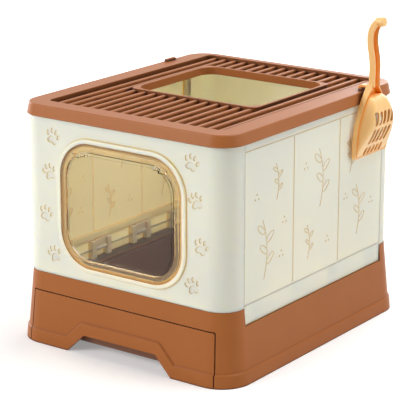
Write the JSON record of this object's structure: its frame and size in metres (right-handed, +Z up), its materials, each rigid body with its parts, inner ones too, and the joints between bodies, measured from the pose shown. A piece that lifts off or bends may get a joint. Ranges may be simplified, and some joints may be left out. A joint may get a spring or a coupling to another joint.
{
  "type": "foldable litter box",
  "caption": "Foldable litter box with fold-in side walls, a clear swing door, a pull-out litter tray, a slatted lift-off lid with an exit hole and a hanging scoop.",
  "frame": {"origin": "centre of the footprint on the floor", "axes": "+Z up, -Y towards the front with the door and the drawer, +X towards the side where the scoop hangs"},
  "size_m": [0.4382, 0.493, 0.4984],
  "materials": {
    "brown_plastic": "moulded polypropylene, satin",
    "cream_plastic": "moulded polypropylene, satin",
    "tray_plastic": "moulded polypropylene, satin",
    "amber_plastic": "clear moulded polystyrene, glossy",
    "orange_plastic": "moulded ABS, glossy",
    "steel": "drawn steel, zinc plated"
  },
  "bodies": {
    "base": {"base_frame": "brown_plastic", "left_hinge_rail": "cream_plastic", "right_hinge_rail": "cream_plastic", "left_hinge_rod": "steel", "right_hinge_rod": "steel", "front_wall": "cream_plastic", "rear_wall": "cream_plastic", "door_frame": "amber_plastic", "door_hinge_pins": "amber_plastic"},
    "drawer": {"drawer_tray": "tray_plastic", "drawer_front": "brown_plastic", "drawer_screws": "steel"},
    "lid": {"lid": "brown_plastic"},
    "left_wall": {"left_wall": "cream_plastic"},
    "right_wall": {"right_wall": "cream_plastic"},
    "door": {"door_flap": "amber_plastic"},
    "scoop": {"scoop": "orange_plastic"}
  },
  "joints": [
    {"name": "drawer_slide", "type": "slide", "parent": "base", "child": "drawer", "axis": [0, -1, 0], "range_m": [0, 0.4]},
    {"name": "lid_lift", "type": "slide", "parent": "base", "child": "lid", "axis": [0, 0, 1], "range_m": [0, 0.12]},
    {"name": "left_wall_fold", "type": "hinge", "parent": "base", "child": "left_wall", "pos_m": [-0.1875, 0, 0.102], "axis": [0, 1, 0], "range_deg": [0, 90]},
    {"name": "right_wall_fold", "type": "hinge", "parent": "base", "child": "right_wall", "pos_m": [0.1875, 0, 0.102], "axis": [0, -1, 0], "range_deg": [0, 86]},
    {"name": "door_swing", "type": "hinge", "parent": "base", "child": "door", "pos_m": [0, -0.2357, 0.3141], "axis": [-1, 0, 0], "range_deg": [-80, 80]},
    {"name": "scoop_lift", "type": "slide", "parent": "lid", "child": "scoop", "axis": [0, 0, 1], "range_m": [0, 0.06]}
  ]
}
